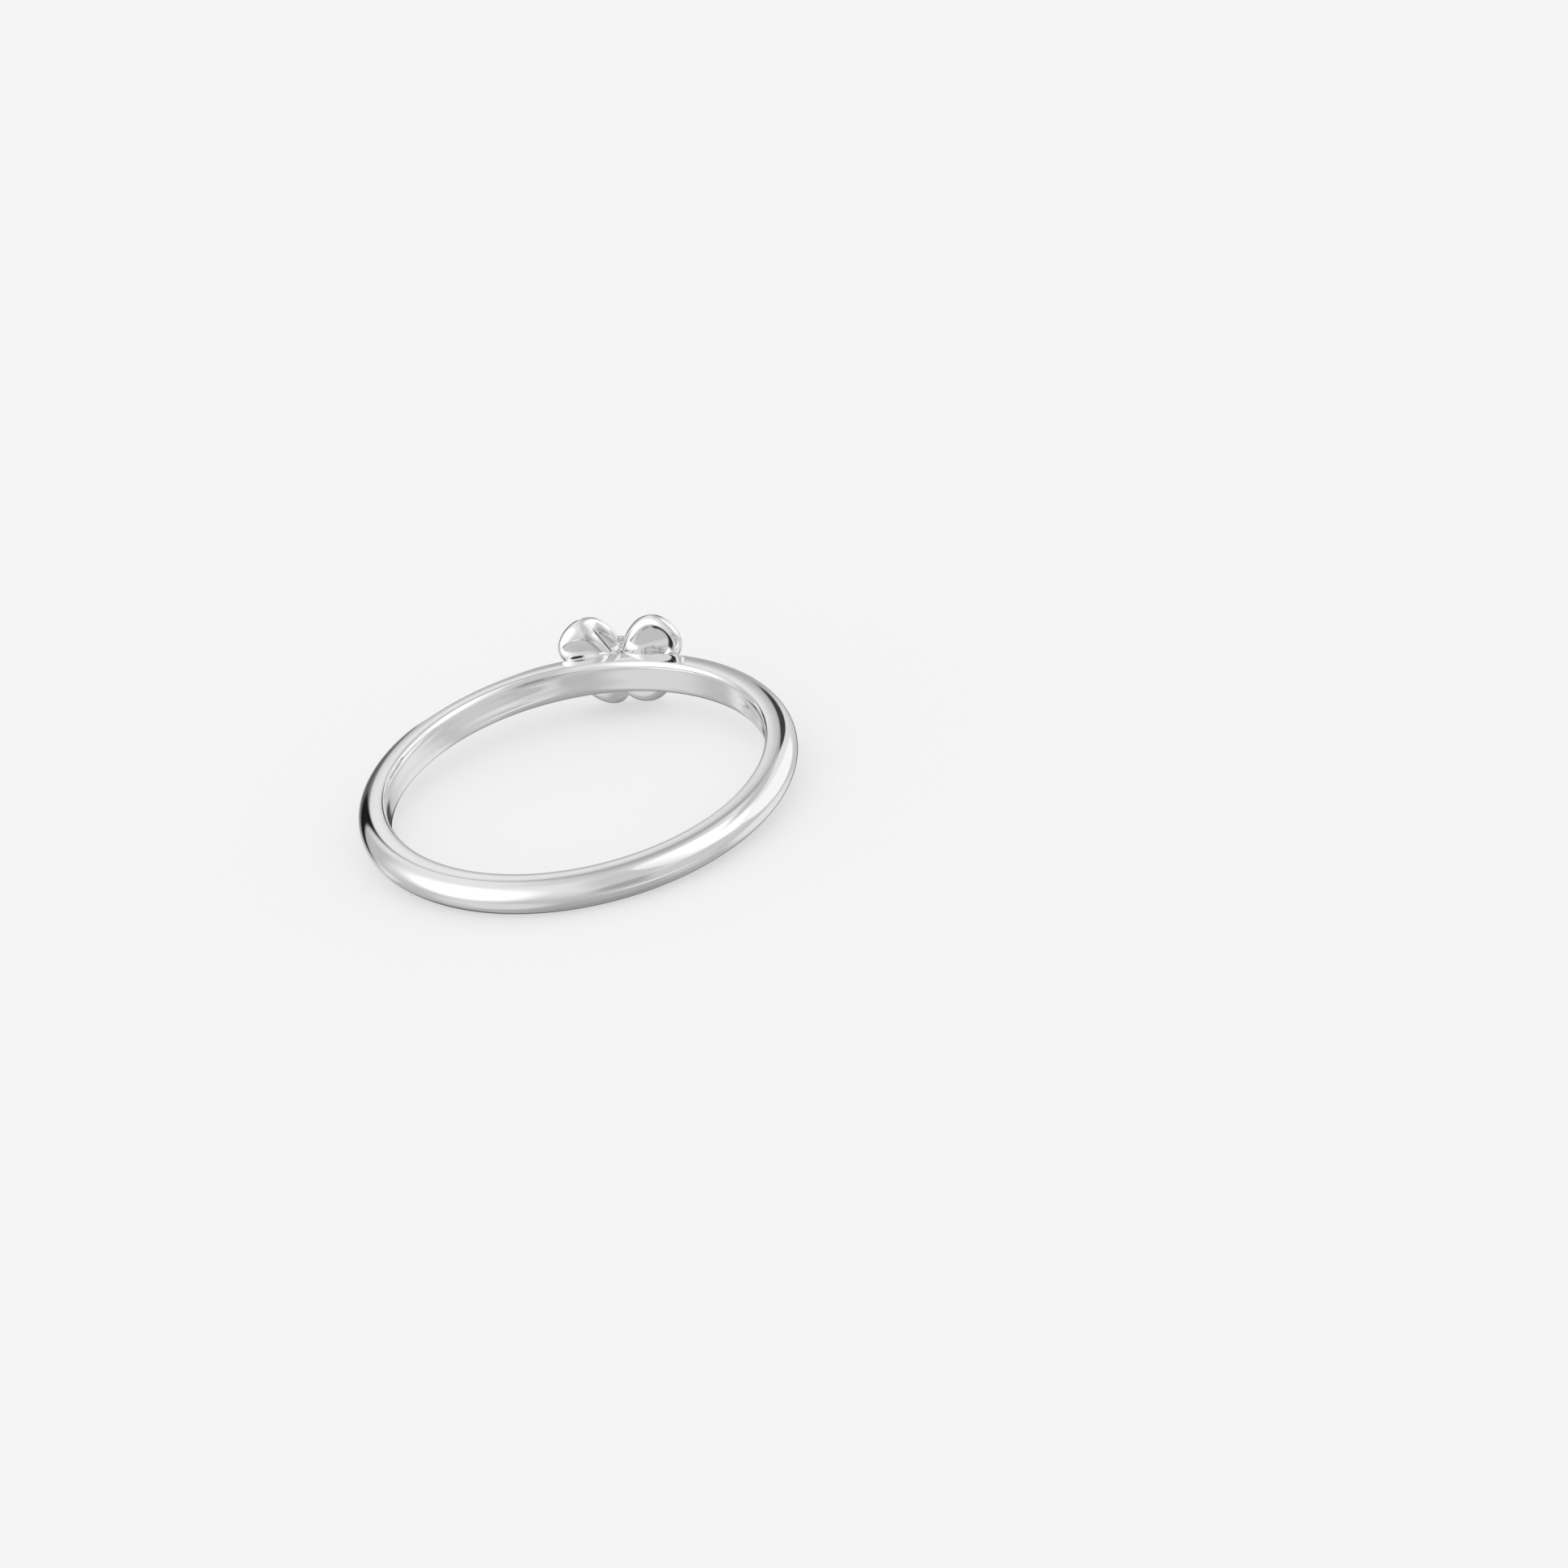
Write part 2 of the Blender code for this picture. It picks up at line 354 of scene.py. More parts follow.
def egg_rim(turn, petal, flower):
    """Egg outline of a petal on its own axes: across is half its width times
    sin t * (1 + taper * cos t), along its length times (1 + cos t) / 2."""
    sampled = np.linspace(0, math.pi, OUTLINE_STEPS)
    widest = np.max(np.sin(sampled) * (1 + petal.taper * np.cos(sampled)))
    half_width = petal.width * flower.petal_width / 2 / widest
    across = half_width * np.sin(turn) * (1 + petal.taper * np.cos(turn))
    return across, petal.reach * flower.reach * (1 + np.cos(turn)) / 2


def off_axes(across, along, angle):
    """Flower's x and z of a point on a petal's own axes."""
    turned = math.radians(angle)
    return (along * math.sin(turned) + across * math.cos(turned),
            along * math.cos(turned) - across * math.sin(turned))


def on_axes(x, z, angle):
    """A petal's own axes, across and along, of the flower's x and z."""
    turned = math.radians(angle)
    return (x * math.cos(turned) - z * math.sin(turned),
            x * math.sin(turned) + z * math.cos(turned))


def way_out(x, z, petal, flower):
    """Share of the way from a petal's middle out to its edge: a point's distance from the middle
    over that of the egg outline in the same direction."""
    middle = petal_middle(petal, flower)
    turn = np.linspace(-math.pi, math.pi, OUTLINE_STEPS)
    rim_across, rim_along = egg_rim(turn, petal, flower)
    rim_bearing = np.arctan2(rim_across, rim_along - middle)
    rim_distance = np.hypot(rim_across, rim_along - middle)
    across, along = on_axes(x, z, petal.angle)
    bearing = np.arctan2(across, along - middle)
    return np.hypot(across, along - middle) / np.interp(bearing, rim_bearing, rim_distance)


def outside_lens(x, out, z, petal, flower):
    """About how far outside a petal's lens points lie: half its thickness times
    sqrt(share^fullness + (out / half thickness)^2) - 1, with their share of the way out."""
    half = petal.thickness * flower.petal_thickness / 2
    level = (out - petal.set * flower.petal_thickness) / half
    return half * (np.sqrt(way_out(x, z, petal, flower) ** flower.fullness + level * level) - 1)


def dish_depth(way, puffed, x, z, petal, flower):
    """How deep the dish lies under a petal's puffed back: down to a flat bottom that leans away
    from the other petals, met by the smooth maximum (d + k)^2 / (4 k) of d and 0."""
    middle_x, middle_z = off_axes(0.0, petal_middle(petal, flower), petal.angle)
    floor = (petal.hollow - petal.thickness / 2) * flower.petal_thickness
    floor = floor + DISH_LEAN[0] * (x - middle_x) + DISH_LEAN[1] * (z - middle_z)
    deep = floor - puffed
    eased = np.clip(deep + DISH_EASE, 0, 2 * DISH_EASE) ** 2 / (4 * DISH_EASE)
    bottom = 1 - smooth_step(way, DISH_RIM - DISH_WALL, DISH_RIM)
    return np.where(deep > DISH_EASE, deep, eased) * bottom * (petal.hollow > 0)


def back_level(x, z, petal, flower):
    """Level of a petal's back above the middle of the flower's thickness."""
    way = np.minimum(way_out(x, z, petal, flower), 1)
    puffed = -petal.thickness * flower.petal_thickness / 2 * np.sqrt(1 - way**flower.fullness)
    dished = dish_depth(way, puffed, x, z, petal, flower)
    return petal.set * flower.petal_thickness + puffed + dished


def lens_directions():
    """Turn round the lens and slope from the pole on its back to the one on its front."""
    turn = (np.arange(PETAL_STEPS) / PETAL_STEPS * math.tau)[None, :]
    slope = (np.arange(1, PETAL_ROWS) / PETAL_ROWS * math.pi)[:, None]
    return turn, slope


def make_lens(name, rim, middle, depth, place, settings, material, painted_shade=None):
    """A closed lens: rows from the pole on its back to the pole on its front. A point lies at
    sin(slope) of the way from the middle to the rim, and depth puffs it."""
    turn, slope = lens_directions()
    way = np.sin(slope)
    side = np.where(slope < math.pi / 2, -1, 1)
    across, along = rim(turn)
    across, along = way * across, middle + way * (along - middle)
    grid = place(across, along, depth(way, side, across, along))
    none, centre = np.zeros(1), np.full(1, middle)
    poles = [place(none, centre, depth(none, np.full(1, end), none, centre))[0] for end in (-1, 1)]
    kept = np.append(painted_shade(way, side, across, along), (0, 0)) if painted_shade else None
    make_closed(name, grid, poles, settings.band, material, kept)


def make_petal(petal, settings, material):
    """A petal: its egg outline puffed to sqrt(1 - share^fullness). Its front is cupped. A hollow
    one has a dished back, whose flat bottom leans away from the other petals, so that its wall
    is low beside them and steep at the far side, where a line of painted shade lies at its foot."""
    flower = settings.flower
    half_thickness = petal.thickness * flower.petal_thickness / 2
    middle = petal_middle(petal, flower)

    def depth(way, side, across, along):
        x, z = off_axes(across, along, petal.angle)
        puffed = side * half_thickness * np.sqrt(1 - way**flower.fullness)
        cup = -flower.cup * (1 - np.minimum(way / DISH_RIM, 1) ** 2) ** 2
        dished = dish_depth(way, puffed, x, z, petal, flower)
        return petal.set * flower.petal_thickness + puffed + np.where(side < 0, dished, cup)

    def place(across, along, out):
        x, z = off_axes(across, along, petal.angle)
        return wrapped(x, z, out, settings)

    def rim(turn):
        return egg_rim(turn, petal, flower)

    # Painted shade: a dark line at the foot of the dish's steep far wall.
    def painted_shade(way, side, across, along):
        x, z = off_axes(across, along, petal.angle)
        middle_x, middle_z = off_axes(0.0, middle, petal.angle)
        foot = np.exp(-(((way - DISH_FOOT) / DISH_LINE) ** 2))
        bearing = np.degrees(np.arctan2(z - middle_z, x - middle_x))
        starts, ends = DISH_SIDE
        far_side = smooth_step(bearing, *starts) * (1 - smooth_step(bearing, *ends))
        return foot * far_side * (side < 0)

    make_lens(petal.name, rim, middle, depth, place, settings, material,
              painted_shade if petal.hollow else None)


def outside_folded(x, out, z, petal, dome, flower):
    """About how far outside the folded petal points lie: the smooth minimum a - h^2 k / 4 of its
    two lenses, with h = max(1 - |a - b| / k, 0). The blend k is soft at the tip and leaves a
    crease towards the root."""
    sheet = outside_lens(x, out, z, petal, flower)
    dome_side = outside_lens(x, out, z, dome, flower)
    _, along = on_axes(x, z, dome.angle)
    blend = CREASE_BLEND + (SOFT_BLEND - CREASE_BLEND) * smooth_step(along, CREASE_FROM, CREASE_TO)
    overlap = np.maximum(1 - np.abs(sheet - dome_side) / blend, 0)
    return np.minimum(sheet, dome_side) - overlap * overlap * blend / 4


def make_folded(petal, dome, settings, material):
    """The folded petal: a ray from its middle towards each point of a plain lens is followed to
    where it leaves the blend of petal and dome, which halving finds. A line of painted shade lies
    in the crease between them."""
    flower = settings.flower
    middle = petal_middle(petal, flower)
    level = (petal.set + dome.set) / 2 * flower.petal_thickness
    turn, slope = lens_directions()
    across, along = egg_rim(turn, petal, flower)
    way = np.sin(slope)
    ray_across = np.append(way * across, (0, 0))
    ray_along = np.append(way * (along - middle), (0, 0))
    ray_out = np.append(-np.cos(slope) * flower.petal_thickness / 2 + 0 * across,
                        (-flower.petal_thickness / 2, flower.petal_thickness / 2))

    def point(scale):
        x, z = off_axes(scale * ray_across, middle + scale * ray_along, petal.angle)
        return x, level + scale * ray_out, z

    inner, outer = np.zeros(ray_out.shape), np.full(ray_out.shape, RAY_REACH)
    for _ in range(HALVINGS):
        half_way = (inner + outer) / 2
        inside = outside_folded(*point(half_way), petal, dome, flower) < 0
        inner = np.where(inside, half_way, inner)
        outer = np.where(inside, outer, half_way)
    x, out, z = point(outer)
    facing_front = np.append(0 * across + (slope > math.pi / 2), (0, 1))
    rim_share = np.minimum(np.append(way + 0 * across, (0, 0)) / DISH_RIM, 1)
    out = out - facing_front * flower.cup * (1 - rim_share**2) ** 2
    points = wrapped(x, z, out, settings)
    grid = points[:-2].reshape(*np.broadcast_shapes(slope.shape, turn.shape), 3)
    _, along_dome = on_axes(x, z, dome.angle)
    gap = outside_lens(x, out, z, petal, flower) - outside_lens(x, out, z, dome, flower)
    # Painted shade: a dark line along the crease between petal and dome.
    crease = np.exp(-((gap - CREASE_LINE) / CREASE_LINE) ** 2)
    crease *= 1 - smooth_step(along_dome, CREASE_FROM, CREASE_TO)
    make_closed(petal.name, grid, points[-2:], settings.band, material, crease)


CORE_BACK = 0.12 * MM  # how far the web between the petals stands back from the core's middle
WEB_START = 0.2  # share of that from which its skin is rough
COARSE_SHARE, FINE_SHARE = 0.40, 0.25  # heights of coarse and fine noise over the grain's size
FINE_SIZE = 0.5  # size of the fine noise over the grain's


def grain_shift(points, grain):
    """Movement of a cast surface, as metres in a last axis of one: coarse noise of the grain's
    size and finer noise of half of it."""
    coarse = noise(points, grain, seed=11)
    fine = noise(points, FINE_SIZE * grain, seed=12)
    return (COARSE_SHARE * coarse + FINE_SHARE * fine)[..., None] * grain


def make_core(name, settings, material, front, back):
    """One of the core's two round lenses, the polished core or the web behind it that joins the
    petals: its faces stand out by front and in by back, each times sqrt(1 - share^2). The back of
    the web, left rough by casting, is moved by the noise of the grain."""
    flower = settings.flower
    radius = flower.core_diameter / 2

    def rim(turn):
        return radius * np.sin(turn), radius * np.cos(turn)

    def depth(way, side, across, along):
        round_edge = np.sqrt(1 - way * way)
        return np.where(side < 0, -back, front) * round_edge

    def place(across, along, out):
        points = wrapped(across, along, out, settings)
        rough = smooth_step(-out, WEB_START * CORE_BACK, CORE_BACK)[..., None]
        return points + rough * grain_shift(points, flower.grain) * (0, 1, 0)

    make_lens(name, rim, 0.0, depth, place, settings, material)


JOINT_STEPS = 1500


def dome_point(x, lean, band):
    """Point of the band's domed face at x, where lean goes from 0 at the crown to 90 degrees at
    the rim."""
    flat = band.bore_diameter / 2 + band.edge_depth + band.rim_flat
    bulge = band.thickness - band.edge_depth - band.rim_flat
    radius = flat + bulge * np.cos(lean)
    return np.stack([x, np.sqrt(radius * radius - x * x), band.width / 2 * np.sin(lean)], -1)


def junction(x, petals, settings):
    """Where the band's domed face leaves the petals at x: the nearest point to the rim that lies
    inside them, or, beside them, the point nearest to them."""
    band, flower = settings.band, settings.flower
    crown = band.bore_diameter / 2 + band.thickness
    lean = np.linspace(0, math.pi / 2, JOINT_STEPS)[:, None]
    across, lean = np.broadcast_arrays(x, lean)
    point = dome_point(across, lean, band)
    out = point[..., 1] - crown - flower.lift + x * x / (2 * crown)
    gap = np.min([outside_lens(across, out, point[..., 2], petal, flower) for petal in petals],
                 axis=0)
    inside = gap < 0
    outermost = JOINT_STEPS - 1 - np.argmax(inside[::-1], axis=0)
    nearest = np.where(inside.any(axis=0), outermost, np.argmin(gap, axis=0))
    return dome_point(x, lean[nearest, 0], band)


Fillet = namedtuple("Fillet", "name petals start end foot climb full rough stain")

# Metal along the joint between the petals, given by their places in PETALS, and the band. Start
# and end are x in millimetres, foot the lean in degrees of its foot on the band's domed face,
# climb how far above a plane that falls back from its foot it goes up the petals' backs and full
# how far its face stands off the joint, both in millimetres. Rough is how much of the grain shows
# on it. Shade span is where shade is painted on it under the petals, its start and end in x in
# millimetres.
FILLETS = (
    Fillet("solder_left", (0, 1), -2.45, -0.15, 88, 0.20, 0.090, 0.0, (-2.20, -1.62)),
    Fillet("solder_right", (2,), 0.14, 2.62, 88, 0.05, 0.070, 0.0, (2.10, 2.42)),
    Fillet("cast_seam", (2,), 0.20, 2.20, 86, 0.11, 0.100, 1.0, None),
    Fillet("cast_bead", (2,), 2.34, 2.64, 86, 0.16, 0.120, 1.0, None),
)
FILLET_ROWS = 300
FACE_STEPS = 40
FILL_BLUNT = 6  # the more, the blunter a fillet's ends
FILL_UNEVEN = 0.25  # how much a fillet's size varies along it
FILL_WAVE = 0.45 * MM  # over what length it varies
FILL_SLOPE = 0.51  # fall of the plane that a fillet climbs to, over its run
FILL_PASSES = 6
SHADE_EDGE = (0.30, 0.60)  # shares of the way up a fillet's face between which its painted shade begins
OFF_JOINT = (0, -0.75, 0.65)  # way in which a fillet's face stands off the joint
INTO_METAL = (0, 0.7, -0.4)  # way from the joint into the metal behind it
ROOT_DEPTH = 0.2 * MM  # how far a fillet reaches into that metal


def make_fillet(fillet, settings, material):
    """A fillet: its face is the curve (1 - t)^2 A + 2 t (1 - t) B + t^2 C from A on the band to C
    on the petals, bent towards B off the joint. It is carried along the joint, with u from -1
    to 1, shrinking at both ends as sqrt(1 - u^6), and its skin is moved by the noise of the
    grain. C is found in a few passes, each on the plane that falls back from A as far as the
    pass before it came out. Painted shade under the petals fades as exp(-u^2) from the middle of
    its span."""
    band, flower = settings.band, settings.flower
    petals = [PETALS[index] for index in fillet.petals]
    start, end = fillet.start, fillet.end
    along = np.linspace(-1, 1, FILLET_ROWS + 2)
    x = ((start + end) / 2 + (end - start) / 2 * along) * MM
    joint = junction(x, petals, settings)
    size = np.sqrt(1 - along**FILL_BLUNT) * (1 + FILL_UNEVEN * noise(joint, FILL_WAVE, seed=21))
    on_band = dome_point(x, np.full_like(x, math.radians(fillet.foot)), band)
    on_petal = joint
    for _ in range(FILL_PASSES):
        fallen = FILL_SLOPE * (on_petal[:, 1] - on_band[:, 1])
        height = on_band[:, 2] + fillet.climb * MM * size - fallen
        level = np.min([back_level(x, height, petal, flower) for petal in petals], axis=0)
        on_petal = wrapped(x, height, level, settings)
    shrunk = np.minimum(size, 1)[:, None]
    on_band = joint + (on_band - joint) * shrunk
    off_joint = joint + fillet.full * MM * size[:, None] * OFF_JOINT
    t = np.linspace(0, 1, FACE_STEPS)[None, :, None]
    face = ((1 - t) ** 2 * on_band[:, None] + 2 * t * (1 - t) * off_joint[:, None]
            + t * t * on_petal[:, None])
    root = joint + ROOT_DEPTH * shrunk * INTO_METAL
    grid = np.concatenate([face, root[:, None]], axis=1)
    raised = np.append(np.sin(math.pi * t[0]) ** 0.5, [[0]], axis=0) * shrunk[:, None]
    grid = grid + fillet.rough * raised * OFF_JOINT * grain_shift(grid, flower.grain)
    # Painted shade under the petals, on the upper part of the fillet's face.
    painted_shade = None
    if fillet.stain:
        shade_start, shade_end = fillet.stain
        from_middle = (x / MM - (shade_start + shade_end) / 2) / (shade_end - shade_start) * 2
        upper = smooth_step(t[0, :, 0], *SHADE_EDGE)
        shade_share = np.exp(-(from_middle**2))[:, None] * np.append(upper, 0)
        painted_shade = np.append(shade_share[1:-1], (0, 0))
    make_closed(fillet.name, grid[1:-1], (joint[0], joint[-1]), band, material, painted_shade)


# Materials

def add_node(tree, kind, inputs=(), **settings):
    """Add a node. Settings are its own values, and inputs pairs of a socket and its value or the
    socket that feeds it."""
    node = tree.nodes.new(kind)
    for key, value in settings.items():
        setattr(node, key, value)
    for key, value in inputs:
        if isinstance(value, bpy.types.NodeSocket):
            tree.links.new(value, node.inputs[key])
        else:
            node.inputs[key].default_value = value
    return node


HAZE_SIZE = 2.5 * MM
HAIRLINE_SIZE = 0.12 * MM  # the real ones are about 0.01 mm wide, and drawn coarse enough to show
HAIRLINE_DEPTH = 0.0004 * MM
SILVER_ROUGHNESS = (0.035, 0.075)  # where the haze is faintest and where it is thickest
PAINTED_SHADE_ROUGHNESS = 0.6
CAST_GRAIN = 0.07 * MM
CAST_PATCH = 0.25 * MM  # patches where the cast skin is worn smoother
CAST_DEPTH = 0.025 * MM
CAST_ROUGHNESS = 0.22


def polished_silver(colours):
    """Sterling silver, cast and buffed on a wheel. It gives clear reflections with the faint,
    uneven haze of hand polishing and the hairlines of buffing. Where the painted shade attribute
    is set, in corners, creases and under the petals, it turns to a dull dark film of painted
    shade."""
    material = bpy.data.materials.new("buffed_silver_painted_shade")
    material.use_nodes = True
    tree = material.node_tree
    shader = tree.nodes["Principled BSDF"]
    place = add_node(tree, "ShaderNodeTexCoord").outputs["Object"]
    haze = add_node(tree, "ShaderNodeTexNoise", [
        ("Vector", place), ("Scale", 1 / HAZE_SIZE), ("Detail", 3.0), ("Roughness", 0.55)])
    tint = add_node(tree, "ShaderNodeMix", [
        ("Factor", haze.outputs["Fac"]), ("A", tuple(colours.polished)),
        ("B", tuple(colours.hazed))], data_type="RGBA")
    sheen = add_node(tree, "ShaderNodeMapRange", [
        ("Value", haze.outputs["Fac"]), ("From Min", 0.3), ("From Max", 0.7),
        ("To Min", SILVER_ROUGHNESS[0]), ("To Max", SILVER_ROUGHNESS[1])])
    hairlines = add_node(tree, "ShaderNodeTexNoise", [
        ("Vector", place), ("Scale", 1 / HAIRLINE_SIZE), ("Detail", 2.0)])
    bump = add_node(tree, "ShaderNodeBump", [
        ("Height", hairlines.outputs["Fac"]), ("Strength", 0.25), ("Distance", HAIRLINE_DEPTH)])
    # Painted shade: where the attribute is set, the colour darkens to the painted shade colour,
    # the metal goes and the surface turns rough.
    painted_shade = add_node(tree, "ShaderNodeAttribute", attribute_name=PAINTED_SHADE_ATTRIBUTE)
    shade_share = add_node(tree, "ShaderNodeMapRange", [
        ("Value", painted_shade.outputs["Fac"]), ("From Min", 0.15), ("From Max", 0.55)])
    shaded_colour = add_node(tree, "ShaderNodeMix", [
        ("Factor", shade_share.outputs["Result"]), ("A", tint.outputs["Result"]),
        ("B", tuple(colours.painted_shade))], data_type="RGBA")
    unshaded_metal = add_node(tree, "ShaderNodeMapRange", [
        ("Value", shade_share.outputs["Result"]), ("To Min", 1.0), ("To Max", 0.0)])
    shaded_roughness = add_node(tree, "ShaderNodeMix", [
        ("Factor", shade_share.outputs["Result"]), ("A", sheen.outputs["Result"]),
        ("B", PAINTED_SHADE_ROUGHNESS)])
    tree.links.new(unshaded_metal.outputs["Result"], shader.inputs["Metallic"])
    tree.links.new(shaded_colour.outputs["Result"], shader.inputs["Base Color"])
    tree.links.new(shaded_roughness.outputs["Result"], shader.inputs["Roughness"])
    tree.links.new(bump.outputs["Normal"], shader.inputs["Normal"])
    return material


def cast_silver(colours):
    """Sterling silver left as it was cast, behind the flower where no wheel reaches. It gives a
    frosted, crumbly skin of bright grains, with painted shade darkening the pits between them.
    Real grains are down to 0.02 mm, and are drawn as coarse as the photograph shows them."""
    material = bpy.data.materials.new("cast_sterling_silver")
    material.use_nodes = True
    tree = material.node_tree
    shader = tree.nodes["Principled BSDF"]
    place = add_node(tree, "ShaderNodeTexCoord").outputs["Object"]
    grains = add_node(tree, "ShaderNodeTexVoronoi", [
        ("Vector", place), ("Scale", 1 / CAST_GRAIN), ("Randomness", 1.0)])
    worn = add_node(tree, "ShaderNodeTexNoise", [
        ("Vector", place), ("Scale", 1 / CAST_PATCH), ("Detail", 3.0)])
    depth = add_node(tree, "ShaderNodeMath", [
        (0, grains.outputs["Distance"]), (1, worn.outputs["Fac"])], operation="MULTIPLY")
    # Painted shade: the deepest parts of the cast skin are darkened towards the pit shade colour.
    pits = add_node(tree, "ShaderNodeMapRange", [
        ("Value", depth.outputs["Value"]), ("From Min", 0.18), ("From Max", 0.42)])
    tint = add_node(tree, "ShaderNodeMix", [
        ("Factor", pits.outputs["Result"]), ("A", tuple(colours.cast)),
        ("B", tuple(colours.pit_shade))], data_type="RGBA")
    bump = add_node(tree, "ShaderNodeBump", [
        ("Height", depth.outputs["Value"]), ("Strength", 0.8), ("Distance", CAST_DEPTH)],
        invert=True)
    shader.inputs["Metallic"].default_value = 1.0
    shader.inputs["Roughness"].default_value = CAST_ROUGHNESS
    tree.links.new(tint.outputs["Result"], shader.inputs["Base Color"])
    tree.links.new(bump.outputs["Normal"], shader.inputs["Normal"])
    return material


# Stage

# Soft cards round the ring that its silver mirrors, the later ones in front of the earlier.
# Turn is in degrees from +Y towards +X and rise above the horizon, both to the card's middle.
# Width and height are sines of half the card's spread, soft is the share of it that fades, and
# light the card's brightness.
CARDS = (
    # name, turn, rise, roll, width, height, soft, light
    ("zenith haze", 60, 80, 0, 0.45, 0.30, 0.60, 0.66),
    ("behind right", 148, 34, 0, 0.32, 0.62, 0.40, 0.64),
    ("behind right low", 150, -7, 0, 0.26, 0.24, 0.50, 0.42),
    ("behind floor", -170, -62, 0, 0.28, 0.24, 0.45, 0.44),
    ("right back floor", 138, -62, 0, 0.30, 0.16, 0.60, 0.46),
    ("left floor", -134, -40, 0, 0.46, 0.32, 0.35, 0.75),
    ("left softbox", -129, 18, 14, 0.56, 0.53, 0.34, 1.30),
    ("left wall", -68, 8, 0, 0.20, 0.45, 0.50, 0.56),
    ("left floor glow", -102, -46, 0, 0.15, 0.15, 0.50, 0.66),
    ("back left floor", -52, -26, 0, 0.40, 0.14, 0.35, 0.85),
    ("dark floor", -28, -52, 0, 0.34, 0.22, 0.50, 0.14),
    ("flag glow", -38, 6, 18, 0.26, 0.50, 0.80, 0.12),
    ("flag", -48, 8, 18, 0.11, 0.56, 0.25, 0.014),
    ("low shade", 122, -19, 0, 0.40, 0.06, 0.60, 0.38),
    ("low gleam", 128, -37, 0, 0.40, 0.06, 0.60, 0.95),
    ("back wall", -10, 30, 0, 0.26, 0.75, 0.30, 0.46),
    ("slit", -24, -2, 0, 0.06, 0.42, 0.20, 1.05),
    ("key spot", -24, 36, 0, 0.12, 0.10, 0.80, 0.90),
    ("back gap", 3, 25, 0, 0.16, 0.22, 0.15, 0.055),
    ("outline", -13, -27, 0, 0.24, 0.18, 0.40, 0.08),
    ("right wall", 100, 38, 0, 0.48, 0.62, 0.04, 0.93),
    ("right wall glow", 94, 38, 0, 0.38, 0.60, 0.35, 1.20),
    ("right low wall", 110, -14, 0, 0.46, 0.32, 0.25, 0.66),
    ("right arc", 40, 48, 0, 0.50, 0.10, 0.50, 0.60),
    ("right floor", 46, -38, 0, 0.46, 0.26, 0.40, 0.86),
    ("right softbox", 52, 8, 0, 0.50, 0.42, 0.12, 1.05),
    ("right floor glow", 98, -48, 0, 0.24, 0.18, 0.50, 0.64),
    ("under the ring", 0, -84, 0, 0.26, 0.26, 0.60, 0.34),
)


# Brightness of the gradient behind the cards, from nadir at 0 to zenith at 1, its two ends first.
SWEEP = (
    (0, 0.4), (1, 0.72), (0.05, 0.48), (0.2, 0.53), (0.37, 0.62), (0.5, 0.74), (0.75, 0.86),
    (0.95, 0.88))


def soft_studio(stage):
    """World light. Mirrored rays see a pale gradient from nadir to zenith with the soft cards
    laid over it, and all other rays an even dome of light. A card is an ellipse whose cover goes
    from 0 to 1, by 3t^2 - 2t^3, where the way out from its middle falls from 1 + soft to
    1 - soft of the way to its edge."""
    world = bpy.data.worlds.new("soft_studio")
    bpy.context.scene.world = world
    world.use_nodes = True
    tree = world.node_tree
    direction = add_node(tree, "ShaderNodeTexCoord").outputs["Generated"]
    height = add_node(tree, "ShaderNodeSeparateXYZ", [("Vector", direction)]).outputs["Z"]
    rise = add_node(tree, "ShaderNodeMapRange", [
        ("Value", height), ("From Min", -1.0), ("From Max", 1.0)])
    sweep = add_node(tree, "ShaderNodeValToRGB", [("Fac", rise.outputs["Result"])])
    ramp = sweep.color_ramp
    for index, (stop, light) in enumerate(SWEEP):
        element = ramp.elements[index] if index < 2 else ramp.elements.new(stop)
        element.position = stop
        element.color = (light, light, light, 1.0)
    shade = sweep.outputs["Color"]
    for name, turn, lift, roll, width, tall, soft, light in CARDS:
        facing = (
            Matrix.Rotation(math.radians(-turn), 3, "Z")
            @ Matrix.Rotation(math.radians(lift), 3, "X")
            @ Matrix.Rotation(math.radians(roll), 3, "Y")
        )
        middle = facing @ Vector((0, 1, 0))
        seen = add_node(tree, "ShaderNodeMapping", [
            ("Vector", direction), ("Location", middle), ("Rotation", facing.to_euler()),
            ("Scale", (width, 1.0, tall))], vector_type="TEXTURE", label=name)
        reach = add_node(tree, "ShaderNodeVectorMath", [
            (0, seen.outputs["Vector"])], operation="LENGTH")
        cover = add_node(tree, "ShaderNodeMapRange", [
            ("Value", reach.outputs["Value"]), ("From Min", 1 + soft), ("From Max", 1 - soft)],
            interpolation_type="SMOOTHSTEP")
        laid = add_node(tree, "ShaderNodeMix", [
            ("Factor", cover.outputs["Result"]), ("A", shade), ("B", (light, light, light, 1.0))],
            data_type="RGBA")
        shade = laid.outputs["Result"]
    mirrored = tree.nodes["Background"]
    tree.links.new(shade, mirrored.inputs["Color"])
    dome = add_node(tree, "ShaderNodeBackground", [
        ("Color", (1.0, 1.0, 1.0, 1.0)), ("Strength", stage.dome)])
    glossy = add_node(tree, "ShaderNodeLightPath").outputs["Is Glossy Ray"]
    both = add_node(tree, "ShaderNodeMixShader", [
        ("Fac", glossy), (1, dome.outputs["Background"]), (2, mirrored.outputs["Background"])])
    tree.links.new(both.outputs["Shader"], tree.nodes["World Output"].inputs["Surface"])
    world.cycles.sampling_method = "NONE"


MATT_SIZE = 0.4 * MM
MATT_DEPTH = 0.01 * MM


